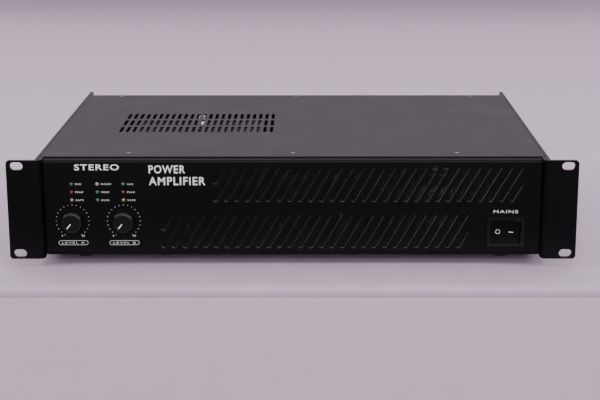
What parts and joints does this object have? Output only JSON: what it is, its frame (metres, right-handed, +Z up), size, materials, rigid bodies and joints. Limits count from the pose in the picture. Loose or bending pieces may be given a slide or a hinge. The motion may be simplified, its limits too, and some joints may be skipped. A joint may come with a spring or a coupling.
{
  "type": "rack-mount power amplifier",
  "caption": "Two-unit rack power amplifier with slanted front vents, level knobs, status lamps, rocker switch and rear connectors.",
  "frame": {"origin": "under the middle of the box, at the soles of the feet", "axes": "+X to the user's right facing the front, +Y to the back, +Z up"},
  "size_m": [0.4826, 0.3313, 0.0938],
  "materials": {
    "case_paint": "satin black powder coat",
    "plain_steel": "bare plated steel",
    "black_screw": "black oxide",
    "rubber": "matt",
    "screen": "fine dark mesh",
    "board": "green solder mask",
    "lamp_green": "tinted, unlit",
    "lamp_red": "tinted, unlit",
    "lamp_yellow": "tinted, unlit",
    "lamp_clear": "clear, unlit",
    "pot_case": "pressed",
    "brass_part": "plated",
    "knob_plastic": "fine satin",
    "switch_plastic": "moulded",
    "winding": "copper and steel under amber tape",
    "capacitor": "dark sleeve",
    "rectifier": "moulded",
    "heat_sink": "black anodised",
    "chip": "epoxy",
    "socket_plastic": "moulded",
    "gold_contact": "gold plated",
    "cap_red": "moulded",
    "cap_black": "moulded",
    "slider": "moulded"
  },
  "bodies": {
    "chassis": {"base_plate": "case_paint", "front_panel": "case_paint", "rear_panel": "case_paint", "top_cover": "case_paint", "side_plate_left": "case_paint", "side_plate_right": "case_paint", "rack_ear_left": "case_paint", "rack_ear_right": "case_paint", "cover_screws": "black_screw", "side_screws": "black_screw", "base_screws": "black_screw", "rear_screws": "black_screw", "foot_screws": "plain_steel", "rubber_feet": "rubber", "dust_screen": "screen", "front_board": "board", "led_green": "lamp_green", "led_red": "lamp_red", "led_yellow": "lamp_yellow", "led_power": "lamp_clear", "potentiometers": "pot_case", "pot_nuts": "brass_part", "power_switch_frame": "switch_plastic", "switch_terminals": "brass_part", "transformer_winding": "winding", "transformer_pads": "rubber", "transformer_plate": "plain_steel", "transformer_bolt": "plain_steel", "power_board": "board", "amplifier_boards": "board", "board_standoffs": "plain_steel", "filter_capacitors": "capacitor", "bridge_rectifier": "rectifier", "heat_sink_a": "heat_sink", "heat_sink_b": "heat_sink", "output_transistors": "chip", "fan_frame": "socket_plastic", "fan_guard": "plain_steel", "xlr_sockets": "socket_plastic", "jack_sockets": "socket_plastic", "speaker_sockets": "socket_plastic", "post_bases": "socket_plastic", "post_studs": "gold_contact", "slide_switches": "switch_plastic", "mains_inlet": "socket_plastic"},
    "knob_a": {"volume_knob_a": "knob_plastic", "pot_shaft_a": "brass_part"},
    "knob_b": {"volume_knob_b": "knob_plastic", "pot_shaft_b": "brass_part"},
    "rocker": {"power_rocker": "switch_plastic"},
    "rotor": {"fan_rotor": "socket_plastic"},
    "latch_a": {"xlr_latch_a": "socket_plastic"},
    "latch_b": {"xlr_latch_b": "socket_plastic"},
    "cap_1": {"post_cap_1": "cap_black"},
    "cap_2": {"post_cap_2": "cap_red"},
    "cap_3": {"post_cap_3": "cap_black"},
    "cap_4": {"post_cap_4": "cap_red"},
    "mode_key": {"mode_slider": "slider"},
    "lift_key": {"lift_slider": "slider"},
    "drawer": {"fuse_drawer": "socket_plastic"}
  },
  "joints": [
    {"name": "knob_a_turn", "type": "hinge", "parent": "chassis", "child": "knob_a", "pos_m": [-0.1881, -0.1645, 0.0384], "axis": [0, 1, 0], "range_deg": [0, 280]},
    {"name": "knob_b_turn", "type": "hinge", "parent": "chassis", "child": "knob_b", "pos_m": [-0.1444, -0.1645, 0.0384], "axis": [0, 1, 0], "range_deg": [0, 280]},
    {"name": "power_rock", "type": "hinge", "parent": "chassis", "child": "rocker", "pos_m": [0.1818, -0.1562, 0.0291], "axis": [0, 0, 1], "range_deg": [0, 18]},
    {"name": "fan_spin", "type": "hinge", "parent": "chassis", "child": "rotor", "pos_m": [-0.09, 0.1255, 0.051], "axis": [0, 1, 0], "continuous": true},
    {"name": "latch_a_push", "type": "slide", "parent": "chassis", "child": "latch_a", "axis": [0, -1, 0], "range_m": [0, 0.0015], "stiffness_N_per_m": 400},
    {"name": "latch_b_push", "type": "slide", "parent": "chassis", "child": "latch_b", "axis": [0, -1, 0], "range_m": [0, 0.0015], "stiffness_N_per_m": 400},
    {"name": "cap_1_unscrew", "type": "slide", "parent": "chassis", "child": "cap_1", "axis": [0, 1, 0], "range_m": [0, 0.0045]},
    {"name": "cap_2_unscrew", "type": "slide", "parent": "chassis", "child": "cap_2", "axis": [0, 1, 0], "range_m": [0, 0.0045]},
    {"name": "cap_3_unscrew", "type": "slide", "parent": "chassis", "child": "cap_3", "axis": [0, 1, 0], "range_m": [0, 0.0045]},
    {"name": "cap_4_unscrew", "type": "slide", "parent": "chassis", "child": "cap_4", "axis": [0, 1, 0], "range_m": [0, 0.0045]},
    {"name": "mode_slide", "type": "slide", "parent": "chassis", "child": "mode_key", "axis": [1, 0, 0], "range_m": [-0.004, 0.004]},
    {"name": "lift_slide", "type": "slide", "parent": "chassis", "child": "lift_key", "axis": [1, 0, 0], "range_m": [0, 0.008]},
    {"name": "fuse_pull", "type": "slide", "parent": "chassis", "child": "drawer", "axis": [0, 1, 0], "range_m": [0, 0.018]}
  ]
}
